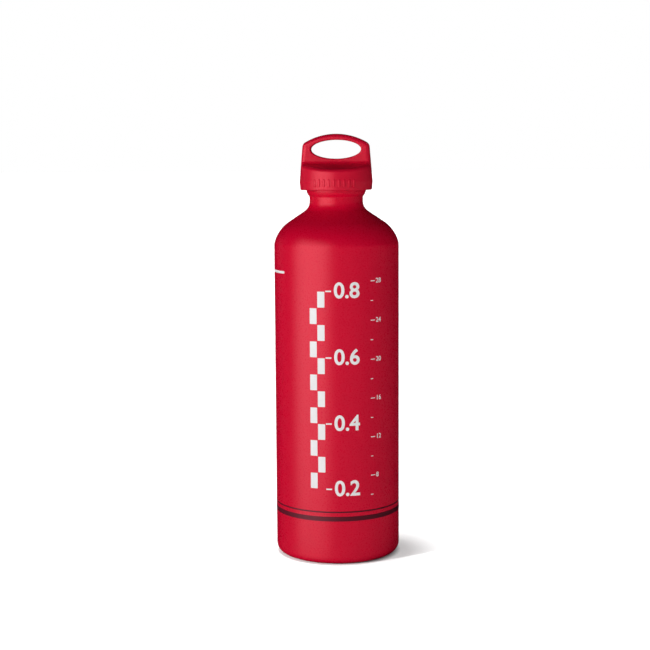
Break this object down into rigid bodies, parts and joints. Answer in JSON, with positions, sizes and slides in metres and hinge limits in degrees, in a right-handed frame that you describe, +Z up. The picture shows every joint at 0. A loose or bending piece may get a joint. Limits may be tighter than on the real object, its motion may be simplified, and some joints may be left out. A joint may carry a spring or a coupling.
{
  "type": "camping fuel bottle",
  "caption": "Tall round aluminium fuel bottle, red lacquered, with a necked shoulder and a press-and-turn screw cap that carries a loop handle.",
  "frame": {"origin": "middle of the base, on the plane that the bottle stands on", "axes": "+Z up along the bottle's axis, towards the cap; X along the width of the cap's loop; Y through the loop's hole"},
  "size_m": [0.08, 0.08, 0.2712],
  "materials": {
    "lacquered_aluminium": "satin",
    "cap_plastic": "satin",
    "plug_plastic": "satin",
    "seal_rubber": "matte",
    "spring_steel": "satin"
  },
  "bodies": {
    "bottle": {"bottle_shell": "lacquered_aluminium"},
    "seal": {"plug_gasket": "seal_rubber"},
    "plug": {"plug": "plug_plastic"},
    "spring": {"return_spring": "spring_steel"},
    "cap": {"cap_shell": "cap_plastic"}
  },
  "joints": [
    {"name": "cap_lift", "type": "slide", "parent": "bottle", "child": "seal", "axis": [0, 0, 1], "range_m": [0, 0.0113]},
    {"name": "cap_turn", "type": "hinge", "parent": "seal", "child": "plug", "pos_m": [0, 0, 0.24], "axis": [0, 0, 1], "range_deg": [0, 1350]},
    {"name": "shell_spin", "type": "hinge", "parent": "plug", "child": "spring", "pos_m": [0, 0, 0.2434], "axis": [0, 0, 1], "continuous": true},
    {"name": "shell_press", "type": "slide", "parent": "spring", "child": "cap", "axis": [0, 0, 1], "range_m": [-0.0013, 0], "stiffness_N_per_m": 3000, "springref_m": 0.004, "deforming": ["return_spring"]}
  ],
  "couplings": [
    {"joint": "cap_lift", "follows": "cap_turn", "m_per_rad": 0.00047746}
  ]
}
